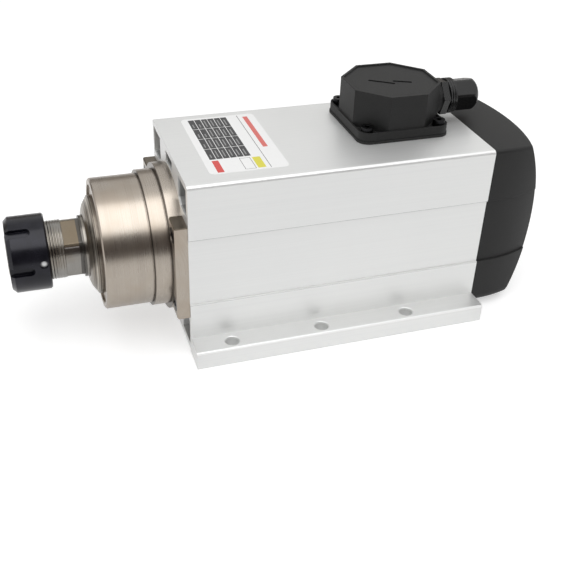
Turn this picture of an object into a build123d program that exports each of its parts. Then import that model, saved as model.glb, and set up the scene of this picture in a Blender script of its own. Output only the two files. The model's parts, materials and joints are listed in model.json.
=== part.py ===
from build123d import *
from math import cos, radians, sqrt, tan
import os

# Square air-cooled motor spindle with a collet nose.
# The spindle axis runs along X with the nose towards -X, +Z is up and the feet stand on z = 0.
# The origin is the centre of the foot bolt pattern, in the plane of the feet. All sizes are in mm.

# ---- body extrusion ----
body_length = 175.0
body_width = 90.0
body_height = 105.5
axis_height = 53.5
stator_bore = 80.0
sleeve_wall = 3.0
body_wall = 3.2
web_outer = 23.6        # half distance between the two corner ducts
duct_drop = 19.0        # depth of a corner duct, from the top or bottom of the body
middle_duct_width = 16.0
top_corner_radius = 2.1
band_recess = 1.0       # the middle band of each side lies back by this much
low_band_height = 33.5
high_band_height = 74.0
base_width = 118.0
foot_thickness = 11.0
relief_width = 84.0
relief_depth = 1.5
foot_hole_radius = 4.0
foot_hole_chamfer = 0.4
foot_hole_pitch = 53.0
foot_row_spacing = 105.0
front_hole_inset = 21.5
foot_edge_chamfer = 0.6

# ---- fasteners: (thread radius, head radius, head height) ----
m3 = (1.5, 2.75, 3.0)
m4 = (2.0, 3.5, 4.0)
m5 = (2.5, 4.25, 5.0)
head_clearance = 0.3    # radial room round a sunk screw head
hole_clearance = 0.25   # radial room round a screw that passes through
thread_clearance = 0.02
socket_share = 0.5      # socket key size as a share of the head's diameter
screw_grip = 10.0       # length of thread in the extrusion
screw_end_gap = 1.0      # room left under a screw in its tapped hole

# ---- front bearing housing ----
flange_thickness = 7.5
flange_width = 88.0
flange_height = 57.0
flange_chamfer = 0.6
disc_radius = 41.7
disc_proud = 0.4        # the disc stands this much ahead of the rectangular plate
middle_radius = 38.6
middle_length = 9.3
rim_radius = 36.8
rim_length = 26.2
groove_width = 0.8      # turned relief at each step of the housing
groove_depth = 0.7
rim_chamfer = 0.8
register_length = 4.0
register_clearance = 0.02
housing_throat_radius = 24.0
flange_screw_y = 38.0
flange_screw_z = 21.5

# ---- front cap ----
cap_flange_radius = 33.3
cap_flange_thickness = 3.0
cap_sunk = 1.2          # the cap's flange lies this far below the rim
cap_boss_radius = 27.6
cap_boss_rise = 1.9
cap_cone_radius = 22.9
cap_cone_length = 3.0
cap_lip_radius = 19.9
cap_lip_length = 1.0
cap_pocket_radius = 24.2
cap_pocket_depth = 6.5
cap_screw_count = 6
cap_screw_turn = 30.0
cap_screw_grip = 5.0
cap_head_clearance = 0.1
cap_hole_depth = 8.0
labyrinth_gap = 0.4

# ---- bearings: bore radius, outer radius, width, ball radius, ball count ----
front_bore, front_outer, front_width, front_ball, front_balls = 15.0, 27.5, 13.0, 3.5, 12
rear_bore, rear_outer, rear_width, rear_ball, rear_balls = 12.5, 23.5, 12.0, 3.1, 10
bearing_spacer = 4.0
spacer_wall = 3.0
ball_clearance = 0.05
land_share = 0.52       # how far a ring's land reaches over the ball, as a share of its radius
cage_gap = 0.5
cage_width_share = 1.5  # cage width as a share of the ball's diameter

# ---- shaft ----
collar_radius = 17.2
collar_length = 2.4     # bare collar ahead of the cap
flats_radius = 15.7
flats_across = 27.0
flats_length = 9.7
thread_radius = 16.0
thread_bare = 8.4       # thread that shows behind the nut
thread_covered = 12.2   # thread inside the nut
abutment_radius = 18.8
abutment_length = 2.6
dust_ring_radius = 23.6
dust_ring_length = 3.0
locknut_radius = 21.5
locknut_length = 7.0
rotor_seat_radius = 14.5
rear_neck_radius = 13.5
rear_locknut_radius = 17.5
rear_locknut_length = 5.0
fan_seat_radius = 8.0
shaft_chamfer = 0.8

# ---- collet and nut ----
collet_length = 34.0
collet_bore_radius = 6.0
collet_radius = 13.0
collet_taper = 8.0      # degrees, half angle
collet_face_radius = 10.9
collet_front_angle = 30.0
collet_front_length = 3.2
collet_front_land = 1.0
collet_groove_width = 2.2
collet_groove_radius = 11.4
collet_slot_count = 8
collet_slot_width = 0.8
collet_slot_end = 5.0
taper_clearance = 0.04
cavity_depth = 6.0      # room behind the collet
nut_radius = 21.0
nut_length = 21.2
nut_front_chamfer = 2.2
nut_rear_chamfer = 0.8
nut_thread_clearance = 0.04
nut_slot_count = 6
nut_slot_width = 5.0
nut_slot_length = 13.0
nut_slot_depth = 2.6
nut_slot_turn = 1.0     # degrees from the -Y side
nut_balance_radius = 2.2
nut_balance_depth = 1.6
nut_balance_turn = 9.5
nut_balance_inset = 3.2
nut_lip_offset = 0.7    # the snap lip is a circle set off centre
nut_lip_radius = 12.85
collet_proud = 0.5

# ---- motor ----
stack_setback = 32.0    # from the front face of the body to the stack
end_turn_room = 9.0     # from the rear end turns to the rear bracket's hub
stator_inner_radius = 25.0
air_gap = 0.4
slot_count = 24
slot_width = 3.2
slot_depth = 9.0
slot_clearance = 0.1
winding_overhang = 15.0
winding_back = 5.0      # slope at the back of the end turns
winding_inner_radius = 28.0
winding_outer_radius = 37.5
end_ring_length = 8.0
end_ring_fins = 8
lead_radius = 1.5
lead_spacing = 4.0
lead_offset_x = 3.0     # the leads stand this far behind and ahead of the box's centre
lead_offset_y = 2.0
lead_hole_radius = 8.0
lead_rise = 5.0         # the leads end this far above the top of the body

# ---- rear bracket, fan and cover ----
bracket_thickness = 5.0
bracket_radius = 41.0
bracket_screw_y = 34.0
bracket_screw_z = 28.5
bracket_hub_wall = 4.5
bracket_hub_depth = 24.0
bracket_lip = 2.5
bracket_lip_radius = 18.0
bracket_ear_radius = 6.0
spring_length = 2.0
spring_sheet = 0.8
fan_radius = 37.0
fan_gap = 1.0           # from the rear locknut to the fan's hub
fan_length = 13.0
fan_hub_radius = 13.0
fan_plate = 1.6
fan_blade = 1.8
fan_blade_count = 9
fan_blade_sweep = 0.86  # how far a blade's centre lies to its side, as a share of its reach
fan_blade_lean = 1.5     # how far a blade's centre lies towards the hub
fan_blade_root = 0.5     # the blades start this far inside the hub's edge
fan_plate_slope = 2.0   # the fan's plate leans back by this much
fan_plate_step = 1.0    # the plate meets the hub over this step
fan_shaft_end = 2.0     # shaft left behind the fan
fan_clip_length = 1.2
fan_clip_radius = 11.0
cover_length = 43.3     # from the body's end to the middle of the dome
cover_dome_radius = 128.0
cover_straight = 5.5    # length before the sides and the top start to curve
cover_side_radius = 70.0
cover_top_radius = 200.0
cover_wall = 2.5
cover_floor = 3.0       # height of the cover's underside
cover_lower_radius = 6.0
cover_edge_radius = 1.2
cover_screw_y = 16.0
cover_screw_rise = 44.5
cover_post_radius = 4.2
grille_inner_radius = 9.0
grille_ring_count = 5
grille_slot = 3.2
grille_bar = 2.4
grille_spokes = 6
grille_spoke_width = 4.0

# ---- terminal box and gland ----
box_behind_stack = 4.5  # from the stack's rear end to the box's centre, over the end turns
box_y = 7.5
gasket_thickness = 1.5
gasket_lip = 0.4
gasket_inner_lip = 1.0
box_flange = 54.5
box_flange_height = 5.0
box_corner_radius = 6.5
tower_across = 52.6
box_height = 26.0       # from the top of the body to the top of the cap
box_wall = 2.5
panel_rim = 1.4
panel_recess = 0.8
pocket_depth = 1.8
pocket_lip = 1.0
box_screw_spacing = 44.0
box_screw_grip = 5.0
box_screw_end_gap = 0.5
block_length, block_width, block_height = 30.0, 22.0, 9.0
block_barrier = 1.6
block_ways = 3
block_plate = 2.0        # mounting plate under the block
block_ear = 4.0          # plate past each end of the block
block_way_drop = 3.0     # floor of a way below the barriers
stud_radius = 2.0
stud_length = 6.0
stud_nut_height = 2.5
gland_rise = 13.0
gland_boss_radius = 10.0
gland_boss_length = 2.7
gland_thread_radius = 7.6
gland_hex = 19.0
gland_hex_turn = 8.0    # degrees from the -Y side to the hexagon's corner
gland_hex_length = 4.1
gland_hex_gap = 0.4
gland_collar_radius = 10.3
gland_collar_length = 4.2
gland_nut_radius = 9.7
gland_nut_flats = 17.4  # across the dome nut's six flats
gland_nut_turn = 15.0
gland_nut_length = 19.5
gland_dome_length = 6.0
gland_lip_length = 2.5
gland_mouth_radius = 5.7
gland_seal_radius = 6.0
gland_nose_radius = 5.4
gland_cable_radius = 4.0
gland_outer_thread = 7.2
gland_outer_thread_length = 9.0
gland_thread_clearance = 0.05
gland_seal_clearance = 0.2
gland_seal_thickness = 1.5
gland_locknut_across = 18.0
gland_locknut_length = 4.0
gland_spigot_end = 1.0   # spigot past the locknut
gland_hex_overlap = 0.5
gland_wall_clearance = 0.2

# ---- places that follow from the sizes ----
front_x = -(foot_hole_pitch + front_hole_inset)
rear_x = front_x + body_length
disc_x = front_x - flange_thickness
plate_x = disc_x + disc_proud
step_x = disc_x - middle_length
rim_x = step_x - rim_length
cap_back_x = rim_x + cap_sunk + cap_flange_thickness
cap_front_x = rim_x - cap_boss_rise - cap_cone_length - cap_lip_length
front_bearing_x = cap_back_x
second_bearing_x = front_bearing_x + front_width + bearing_spacer
front_seat_end = second_bearing_x + front_width
collar_x = cap_front_x - collar_length
thread_x = collar_x - flats_length
nut_rear_x = thread_x - thread_bare
nose_x = nut_rear_x - thread_covered
nut_front_x = nut_rear_x - nut_length
collet_x = nut_front_x - collet_proud
bracket_x = rear_x - bracket_hub_depth
stack_x = front_x + stack_setback
stack_end_x = bracket_x - end_turn_room - winding_overhang
stack_length = stack_end_x - stack_x
rear_bearing_x = bracket_x + bracket_lip + spring_length
rear_seat_end = rear_bearing_x + 2 * rear_width
fan_x = rear_seat_end + rear_locknut_length + fan_gap
shaft_end_x = fan_x + fan_length + fan_shaft_end
box_x = stack_end_x + box_behind_stack
box_base = body_height + gasket_thickness
tower_x = box_x + tower_across / 2
ways_y = box_y + block_width / 4
way_width = block_length / block_ways
gland_z = body_height + gland_rise
gland_boss_x = tower_x + gland_boss_length
gland_face_x = gland_boss_x + gland_seal_thickness
gland_hex_x = gland_face_x + gland_hex_length
gland_nut_x = gland_hex_x + gland_hex_gap
gland_end_x = gland_nut_x + gland_nut_length
gland_lip_x = gland_end_x - gland_lip_length
gland_thread_end = gland_hex_x + gland_outer_thread_length
stator_radius = stator_bore / 2
half_width = body_width / 2
pole_x = rear_x + cover_length
curve_x = rear_x + cover_straight


def on_axis(shape):
    """A shape made about the X axis, lifted to the spindle axis."""
    return Pos(0, 0, axis_height) * shape


def turned(*outline):
    """A solid turned about the spindle axis from (x, radius) points."""
    return on_axis(revolve(make_face(Polyline(*outline, close=True)), Axis.X))


def ring(start, end, inner, outer, edge=0.0):
    """A ring about the spindle axis, with its outer edges chamfered."""
    if edge == 0:
        return turned((start, inner), (end, inner), (end, outer), (start, outer))
    return turned((start, inner), (end, inner), (end, outer - edge), (end - edge, outer),
                  (start + edge, outer), (start, outer - edge))


def rod(start, end, radius, y, z):
    """A round bar along X."""
    return Pos((start + end) / 2, y, z) * Rotation(0, 90, 0) * Cylinder(radius, end - start)


def post(radius, low, high, x, y):
    """A round bar along Z."""
    return Pos(x, y, (low + high) / 2) * Cylinder(radius, high - low)


def across(start, end, sketch):
    """A sketch drawn in (y, z), carried along X from start to end."""
    return Pos(start, 0, 0) * extrude(Plane.YZ * sketch, end - start)


def turned_about_axis(shape, angle):
    """A shape swung about the spindle axis, positive from -Y towards +Z."""
    return on_axis(Rotation(-angle, 0, 0) * Pos(0, 0, -axis_height) * shape)


def socket_screw(size, grip):
    """A socket head screw pointing along +X, with its head's underside at the origin."""
    thread, head, height = size
    key = head * socket_share
    body = Pos(-height / 2, 0, 0) * Rotation(0, 90, 0) * Cylinder(head, height)
    shank = Pos(grip / 2, 0, 0) * Rotation(0, 90, 0) * Cylinder(thread - thread_clearance, grip)
    socket = Pos(-height, 0, 0) * extrude(Plane.YZ * RegularPolygon(key, 6), height * 0.55)
    return body + shank - socket


def corners(y, z):
    """The four places at plus or minus y and z about the spindle axis."""
    return [(side * y, axis_height + rise * z) for side in (-1, 1) for rise in (-1, 1)]


flange_screw_places = corners(flange_screw_y, flange_screw_z)
cover_screw_places = corners(cover_screw_y, cover_screw_rise)
box_screw_places = [(box_x + a * box_screw_spacing / 2, box_y + b * box_screw_spacing / 2)
                    for a in (-1, 1) for b in (-1, 1)]
lead_places = [(box_x + lead_offset_x + k * lead_spacing, box_y - lead_offset_y)
               for k in (-1, 0, 1)]
bracket_screw_places = corners(bracket_screw_y, bracket_screw_z)


# ---- body ----
def side_outline():
    """The body's section, before the middle bands are sunk."""
    outline = Pos(0, body_height / 2) * Rectangle(body_width, body_height)
    return fillet([v for v in outline.vertices() if v.Y > 0], top_corner_radius)


def band_sketch():
    """What is sunk out of the middle band of both sides."""
    middle, height = (low_band_height + high_band_height) / 2, high_band_height - low_band_height
    return Sketch() + [Pos(side * half_width, middle) * Rectangle(2 * band_recess, height)
                       for side in (-1, 1)]


def duct_sketch():
    """The air ducts: four at the corners and one in the middle of the top and the bottom."""
    sleeve = Pos(0, axis_height) * Circle(stator_radius + sleeve_wall)
    duct_width = half_width - body_wall - web_outer
    duct_height = duct_drop - body_wall
    duct_y = web_outer + duct_width / 2
    top = body_height - body_wall - duct_height / 2
    bottom = foot_thickness / 2 + duct_height / 2
    ducts = Sketch()
    for z in (top, bottom):
        for side in (-1, 1):
            ducts += Pos(side * duct_y, z) * Rectangle(duct_width, duct_height)
    middle_height = body_height - body_wall - axis_height - stator_radius
    ducts += Pos(0, body_height - body_wall - middle_height / 2) * Rectangle(
        middle_duct_width, middle_height)
    return ducts - sleeve


def make_body_extrusion():
    """The extrusion, bored for the stator and drilled at its feet, ends and top."""
    feet = Pos(0, foot_thickness / 2) * Rectangle(base_width, foot_thickness)
    feet = chamfer([v for v in feet.vertices() if v.Y > 0], foot_edge_chamfer)
    section = side_outline() - band_sketch() + feet
    section -= Pos(0, relief_depth / 2) * Rectangle(relief_width, relief_depth)
    section -= Pos(0, axis_height) * Circle(stator_radius)
    section -= duct_sketch()
    body = across(front_x, rear_x, section)
    holes = [post(foot_hole_radius, 0, foot_thickness, column * foot_hole_pitch,
                  row * foot_row_spacing / 2) for column in (-1, 0, 1) for row in (-1, 1)]
    sink = Pos(0, 0, foot_thickness - foot_hole_chamfer / 2) * Cone(
        foot_hole_radius, foot_hole_radius + foot_hole_chamfer, foot_hole_chamfer)
    holes += [Pos(column * foot_hole_pitch, row * foot_row_spacing / 2, 0) * sink
              for column in (-1, 0, 1) for row in (-1, 1)]
    holes += [rod(front_x, front_x + screw_grip, m5[0], y, z) for y, z in flange_screw_places]
    holes += [rod(rear_x - screw_grip, rear_x, m5[0], y, z) for y, z in bracket_screw_places]
    holes += [rod(rear_x - screw_grip, rear_x, m4[0], y, z) for y, z in cover_screw_places]
    holes += [post(m4[0], body_height - box_screw_grip, body_height, x, y)
              for x, y in box_screw_places]
    holes += [post(lead_hole_radius, axis_height + stator_radius - 5, body_height,
                   box_x + lead_offset_x, box_y)]
    for hole in holes:
        body -= hole
    return body


# ---- front housing and cap ----
def make_front_bearing_housing():
    """Three turned steps, each with a narrow relief, and the rectangular flange plate."""
    outer = [(rim_x, rim_radius - rim_chamfer), (rim_x + rim_chamfer, rim_radius),
             (step_x - groove_width, rim_radius), (step_x - groove_width, rim_radius - groove_depth),
             (step_x, rim_radius - groove_depth), (step_x, middle_radius),
             (disc_x - groove_width, middle_radius),
             (disc_x - groove_width, middle_radius - groove_depth),
             (disc_x, middle_radius - groove_depth), (disc_x, disc_radius), (front_x, disc_radius)]
    register = stator_radius - register_clearance
    inner = [(front_x, register), (front_x + register_length, register),
             (front_x + register_length, housing_throat_radius),
             (front_seat_end, housing_throat_radius), (front_seat_end, front_outer),
             (cap_back_x, front_outer), (cap_back_x, cap_flange_radius),
             (rim_x, cap_flange_radius)]
    housing = turned(*outer, *inner)
    plate = Pos((plate_x + front_x) / 2, 0, axis_height) * Box(front_x - plate_x, flange_width,
                                                               flange_height)
    plate = chamfer(plate.faces().sort_by(Axis.X)[0].edges(), flange_chamfer)
    plate -= on_axis(rod(plate_x - 1, front_x + 1, middle_radius - groove_depth - 1, 0, 0))
    housing += plate
    seat = plate_x + m5[2]
    for y, z in flange_screw_places:
        housing -= rod(disc_x - 1, seat, m5[1] + head_clearance, y, z)
        housing -= rod(seat, front_x + 1, m5[0] + hole_clearance, y, z)
    radius, sink = cap_screw_circle(), m3[0] + hole_clearance
    for k in range(cap_screw_count):
        hole = rod(cap_back_x, cap_back_x + cap_hole_depth, m3[0], radius, axis_height)
        housing -= turned_about_axis(hole, cap_screw_turn + k * 360 / cap_screw_count)
    return housing


def cap_screw_circle():
    """Radius of the cap's screw circle, midway across its bare flange."""
    return (cap_boss_radius + cap_flange_radius) / 2


def make_front_cap():
    """The cap: a flange sunk in the rim, a boss, a cone and a lip round the shaft's collar."""
    bore = collar_radius + labyrinth_gap
    flange_x = rim_x + cap_sunk
    boss_x = rim_x - cap_boss_rise
    cone_x = boss_x - cap_cone_length
    pocket_x = cap_back_x - cap_pocket_depth
    edge = cap_flange_radius - register_clearance
    cap = turned((cap_back_x, edge), (flange_x, edge), (flange_x, cap_boss_radius),
                 (boss_x, cap_boss_radius), (cone_x, cap_cone_radius), (cap_front_x, cap_lip_radius),
                 (cap_front_x, bore), (pocket_x, bore), (pocket_x, cap_pocket_radius),
                 (cap_back_x, cap_pocket_radius))
    for k in range(cap_screw_count):
        hole = rod(flange_x, cap_back_x, m3[0] + hole_clearance, cap_screw_circle(), axis_height)
        sink = rod(flange_x, flange_x + m3[0], m3[1], cap_screw_circle(), axis_height)
        cap -= turned_about_axis(hole + sink, cap_screw_turn + k * 360 / cap_screw_count)
    return cap


def make_cap_screws():
    """Low head screws sunk in the cap's flange."""
    start = rim_x + cap_sunk + m3[0]
    screw = Pos(start, cap_screw_circle(), axis_height) * socket_screw(
        (m3[0], m3[1] - cap_head_clearance, m3[0]), cap_flange_thickness + cap_screw_grip)
    return [turned_about_axis(screw, cap_screw_turn + k * 360 / cap_screw_count)
            for k in range(cap_screw_count)]


def make_flange_screws():
    """The four screws that hold the housing to the body."""
    seat = plate_x + m5[2]
    return [Pos(seat, y, z) * socket_screw(m5, front_x - seat + screw_grip - screw_end_gap)
            for y, z in flange_screw_places]


# ---- bearings ----
def ring_tube(start, end, inner, outer, pitch, ball):
    """A bearing ring with its ball groove."""
    middle = (start + end) / 2
    groove = on_axis(Pos(middle, 0, 0) * Rotation(0, 90, 0) * Torus(pitch, ball + ball_clearance))
    return ring(start, end, inner, outer) - groove


def make_bearing_rings(starts, bore, outer, width, ball):
    """Outer and inner rings of the bearings that start at the given places."""
    pitch = (bore + outer) / 2
    outers = [ring_tube(x, x + width, pitch + ball * land_share, outer, pitch, ball)
              for x in starts]
    inners = [ring_tube(x, x + width, bore, pitch - ball * land_share, pitch, ball)
              for x in starts]
    return outers, inners


def make_balls(starts, bore, outer, width, ball, count):
    """The balls of one bearing pair."""
    pitch = (bore + outer) / 2
    place = [(x + width / 2, 360 * k / count) for x in starts for k in range(count)]
    return [turned_about_axis(Pos(x, pitch, axis_height) * Sphere(ball), turn)
            for x, turn in place]


def make_cages(starts, bore, outer, width, ball, count):
    """The cages of one bearing pair: rings with a round pocket for each ball."""
    pitch = (bore + outer) / 2
    half_wall = ball * land_share - cage_gap
    half_width_x = ball * cage_width_share
    cages = []
    for x in starts:
        middle = x + width / 2
        cage = ring(middle - half_width_x, middle + half_width_x, pitch - half_wall,
                    pitch + half_wall)
        for k in range(count):
            pocket = Pos(middle, pitch, axis_height) * Rotation(90, 0, 0) * Cylinder(
                ball + ball_clearance, 4 * ball)
            cage -= turned_about_axis(pocket, 360 * k / count)
        cages.append(cage)
    return cages


# ---- shaft, collet and nut ----
def collet_body_radius(x):
    """Radius of the collet's long taper at x."""
    taper_x = collet_x + collet_front_length + collet_front_land + collet_groove_width
    return collet_radius - (x - taper_x) * tan(radians(collet_taper))


def make_spindle_shaft():
    """The shaft: nose thread, spanner flats, collar, bearing seats, rotor seat and fan seat."""
    cavity_end = collet_x + collet_length + taper_clearance
    cavity = [(nose_x, collet_body_radius(nose_x) + taper_clearance),
              (cavity_end, collet_body_radius(cavity_end) + taper_clearance),
              (cavity_end + cavity_depth, collet_bore_radius), (cavity_end + cavity_depth, 0)]
    neck_start = stack_end_x + end_ring_length + 2
    outer = [(shaft_end_x, 0), (shaft_end_x, fan_seat_radius), (fan_x - 1, fan_seat_radius),
             (fan_x - 1, rear_bore), (rear_bearing_x, rear_bore),
             (rear_bearing_x, rear_neck_radius), (neck_start, rear_neck_radius),
             (neck_start, rotor_seat_radius), (front_seat_end + locknut_length, rotor_seat_radius),
             (front_seat_end + locknut_length, front_bore), (front_bearing_x, front_bore),
             (front_bearing_x, abutment_radius),
             (front_bearing_x - abutment_length, abutment_radius),
             (front_bearing_x - abutment_length, collar_radius), (collar_x, collar_radius),
             (collar_x, flats_radius), (thread_x, flats_radius), (thread_x, thread_radius),
             (nose_x + shaft_chamfer, thread_radius), (nose_x, thread_radius - shaft_chamfer)]
    shaft = turned(*cavity, *outer)
    flat_depth = flats_radius
    for k in range(4):
        flat = Pos((thread_x + collar_x) / 2, 0, axis_height + flats_across / 2 + flat_depth / 2) * Box(
            flats_length, 3 * flats_radius, flat_depth)
        shaft -= turned_about_axis(flat, -22 + 90 * k)
    return shaft


def make_collet():
    """The collet: two opposed tapers, a snap groove and slots cut in turn from each end."""
    front_end = collet_x + collet_front_length
    groove_start = front_end + collet_front_land
    groove_end = groove_start + collet_groove_width
    end = collet_x + collet_length
    land = collet_face_radius + collet_front_length * tan(radians(collet_front_angle))
    collet = turned((collet_x, collet_bore_radius), (collet_x, collet_face_radius),
                    (front_end, land), (groove_start, land), (groove_start, collet_groove_radius),
                    (groove_end, collet_groove_radius), (groove_end, collet_radius),
                    (end, collet_body_radius(end)), (end, collet_bore_radius))
    slot_length = collet_length - collet_slot_end
    for k in range(2 * collet_slot_count):
        start = collet_x if k % 2 == 0 else collet_x + collet_slot_end
        slot = Pos(start + slot_length / 2, 0, axis_height + collet_radius) * Box(
            slot_length + 0.02, collet_slot_width, 2 * (collet_radius - 2))
        collet -= turned_about_axis(slot, 180 * k / collet_slot_count)
    return collet


def make_collet_nut():
    """The nut: threaded bore, off-centre snap lip, front cone, spanner slots, balance holes."""
    cone = tan(radians(collet_front_angle))
    room = taper_clearance / cos(radians(collet_front_angle))
    cone_end = collet_x + collet_front_length
    land = collet_face_radius + collet_front_length * cone + room
    lip_start = cone_end + collet_front_land + 0.2
    lip_end = lip_start + collet_groove_width - 0.4
    bore = thread_radius + nut_thread_clearance
    clear = nut_lip_radius + nut_lip_offset + 0.3
    relief_x = nose_x - 1.0
    nut = turned((nut_front_x, collet_face_radius + collet_proud * cone + room), (cone_end, land),
                 (lip_start, land), (lip_start, nut_lip_radius - nut_lip_offset),
                 (lip_end, nut_lip_radius - nut_lip_offset), (lip_end, clear), (relief_x, clear),
                 (relief_x, bore), (nut_rear_x, bore), (nut_rear_x, nut_radius - nut_rear_chamfer),
                 (nut_rear_x - nut_rear_chamfer, nut_radius),
                 (nut_front_x + nut_front_chamfer, nut_radius),
                 (nut_front_x, nut_radius - nut_front_chamfer))
    nut -= rod(lip_start, lip_end, nut_lip_radius, 0, axis_height + nut_lip_offset)
    slot_middle = nut_slot_length - nut_slot_width / 2
    for k in range(nut_slot_count):
        slot = Pos(nut_front_x + slot_middle / 2, -nut_radius, axis_height) * Box(
            slot_middle, 2 * nut_slot_depth, nut_slot_width)
        slot += Pos(nut_front_x + slot_middle, -nut_radius, axis_height) * Rotation(
            90, 0, 0) * Cylinder(nut_slot_width / 2, 2 * nut_slot_depth)
        nut -= turned_about_axis(slot, nut_slot_turn + 360 * k / nut_slot_count)
    for k in range(2):
        hole = Pos(nut_rear_x - nut_balance_inset, -nut_radius, axis_height) * Rotation(
            90, 0, 0) * Cylinder(nut_balance_radius, 2 * nut_balance_depth)
        nut -= turned_about_axis(hole, nut_balance_turn + 180 * k)
    return nut


# ---- motor ----
def stator_slots(clearance):
    """The winding slots as one row of bars."""
    width, depth = slot_width - 2 * clearance, slot_depth - clearance
    start = stator_inner_radius + 1.5 + clearance
    bar = Pos(stack_x + stack_length / 2, 0, axis_height + start + depth / 2) * Box(
        stack_length, width, depth)
    return [turned_about_axis(bar, 360 * k / slot_count) for k in range(slot_count)]


def make_stator_core():
    """The laminated stack with its winding slots."""
    core = ring(stack_x, stack_end_x, stator_inner_radius, stator_radius)
    for bar in stator_slots(0):
        core -= bar
    return core


def make_stator_windings():
    """Copper end turns at both ends of the stack, with rounded backs, joined by the slot bars."""
    length, back = winding_overhang, winding_back
    end_turns = []
    for face, way in ((stack_x, -1), (stack_end_x, 1)):
        near, far = face, face + way * length
        end_turns.append(turned((near, winding_inner_radius), (near, winding_outer_radius),
                                (far - way * back, winding_outer_radius),
                                (far, winding_outer_radius - back), (far, winding_inner_radius + 2),
                                (far - way * 2, winding_inner_radius)))
    winding = end_turns[0] + end_turns[1]
    for bar in stator_slots(slot_clearance):
        winding += bar
    return winding


def make_rotor_end_rings():
    """Cast end rings of the rotor with straight fins."""
    outer = stator_inner_radius - air_gap - 0.6
    inner = rotor_seat_radius + 3
    rings = []
    for face, way in ((stack_x, -1), (stack_end_x, 1)):
        far = face + way * end_ring_length * 0.5
        end_ring = ring(min(face, far), max(face, far), inner, outer)
        for k in range(end_ring_fins):
            fin = Pos(face + way * end_ring_length / 2, 0, axis_height + (inner + outer) / 2) * Box(
                end_ring_length, 1.6, outer - inner - 1)
            end_ring += turned_about_axis(fin, 360 * k / end_ring_fins)
        rings.append(end_ring)
    return rings


# ---- rear end ----
def make_rear_bearing_bracket():
    """The bracket: a disc with four ears on the body's end and a hub reaching into the bore."""
    hub = rear_outer + bracket_hub_wall
    face = rear_x + bracket_thickness
    bracket = turned((bracket_x, bracket_lip_radius), (bracket_x, hub), (rear_x, hub),
                     (rear_x, bracket_radius), (face, bracket_radius), (face, rear_outer),
                     (bracket_x + bracket_lip, rear_outer),
                     (bracket_x + bracket_lip, bracket_lip_radius))
    for y, z in bracket_screw_places:
        bracket += rod(rear_x, face, bracket_ear_radius, y, z)
    for y, z in bracket_screw_places:
        bracket -= rod(rear_x, face, m5[0] + hole_clearance, y, z)
    return bracket


def make_preload_spring():
    """A coned spring washer that presses on the rear outer ring."""
    start, end = bracket_x + bracket_lip, rear_bearing_x
    low, high = bracket_lip_radius + 1, rear_outer - 0.2
    return turned((start, low), (start + spring_sheet, low), (end, high), (end - spring_sheet, high))


def make_fan():
    """The fan: a coned plate on a hub, with curved blades towards the grille."""
    end = fan_x + fan_length
    rim = fan_x + fan_plate_slope
    fan = turned((fan_x, fan_seat_radius), (fan_x, fan_hub_radius), (rim, fan_radius),
                 (rim + fan_plate, fan_radius),
                 (rim + fan_plate_slope + fan_plate, fan_hub_radius + fan_plate_step),
                 (end, fan_hub_radius), (end, fan_seat_radius))
    reach = fan_radius - fan_hub_radius + 2 * fan_blade_root
    root = fan_hub_radius - fan_blade_root
    blade_arc = Pos(root + reach / 2 - fan_blade_lean, -reach * fan_blade_sweep) * (
        Circle(reach + fan_blade) - Circle(reach))
    window = Pos(root + reach / 2, fan_blade_lean) * Rectangle(reach, 2 * reach)
    blade = across(rim, end, blade_arc & window & Circle(fan_radius))
    for k in range(fan_blade_count):
        fan += turned_about_axis(on_axis(blade), 360 * k / fan_blade_count)
    return fan


def cover_plan(inset):
    """The cover seen from above: straight sides that curve inwards, all moved in by inset."""
    width = half_width - inset
    straight = Pos((rear_x + curve_x) / 2, 0) * Rectangle(cover_straight, 2 * width)
    centre = half_width - cover_side_radius
    radius = cover_side_radius - inset
    curved = Pos(curve_x, centre) * Circle(radius) & Pos(curve_x, -centre) * Circle(radius)
    behind = Pos(curve_x + cover_length / 2, 0) * Rectangle(cover_length, 2 * half_width)
    return straight + (curved & behind)


def cover_side(inset):
    """The cover seen from the side: a level floor and a top that curves down, moved in by inset."""
    low, high = cover_floor + inset, body_height - inset
    middle, height = (low + high) / 2, high - low
    straight = Pos((rear_x + curve_x) / 2, middle) * Rectangle(cover_straight, height)
    top = Pos(curve_x, body_height - cover_top_radius) * Circle(cover_top_radius - inset)
    behind = Pos(curve_x + cover_length / 2, middle) * Rectangle(cover_length, height)
    return straight + (top & behind)


def cover_block(side_inset, inset):
    """The solid inside the cover's plan and side view, moved in by the insets."""
    plan = extrude(cover_plan(side_inset), body_height)
    return plan & Rotation(90, 0, 0) * extrude(cover_side(inset), half_width, both=True)


def cover_ball(inset):
    """The ball that gives the cover its domed end, made smaller by inset."""
    return Pos(pole_x - cover_dome_radius, 0, axis_height) * Sphere(cover_dome_radius - inset)


def long_edges(block):
    """The edges that run from the front of a cover block to its back, low ones then high ones."""
    along = [e for e in block.edges() if e.bounding_box().size.X > cover_straight / 2
             and abs(e.center().Y) > half_width / 2]
    low = [e for e in along if e.center().Z < cover_floor + foot_thickness]
    high = [e for e in along if e.center().Z > body_height - foot_thickness]
    return low, high


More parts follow.
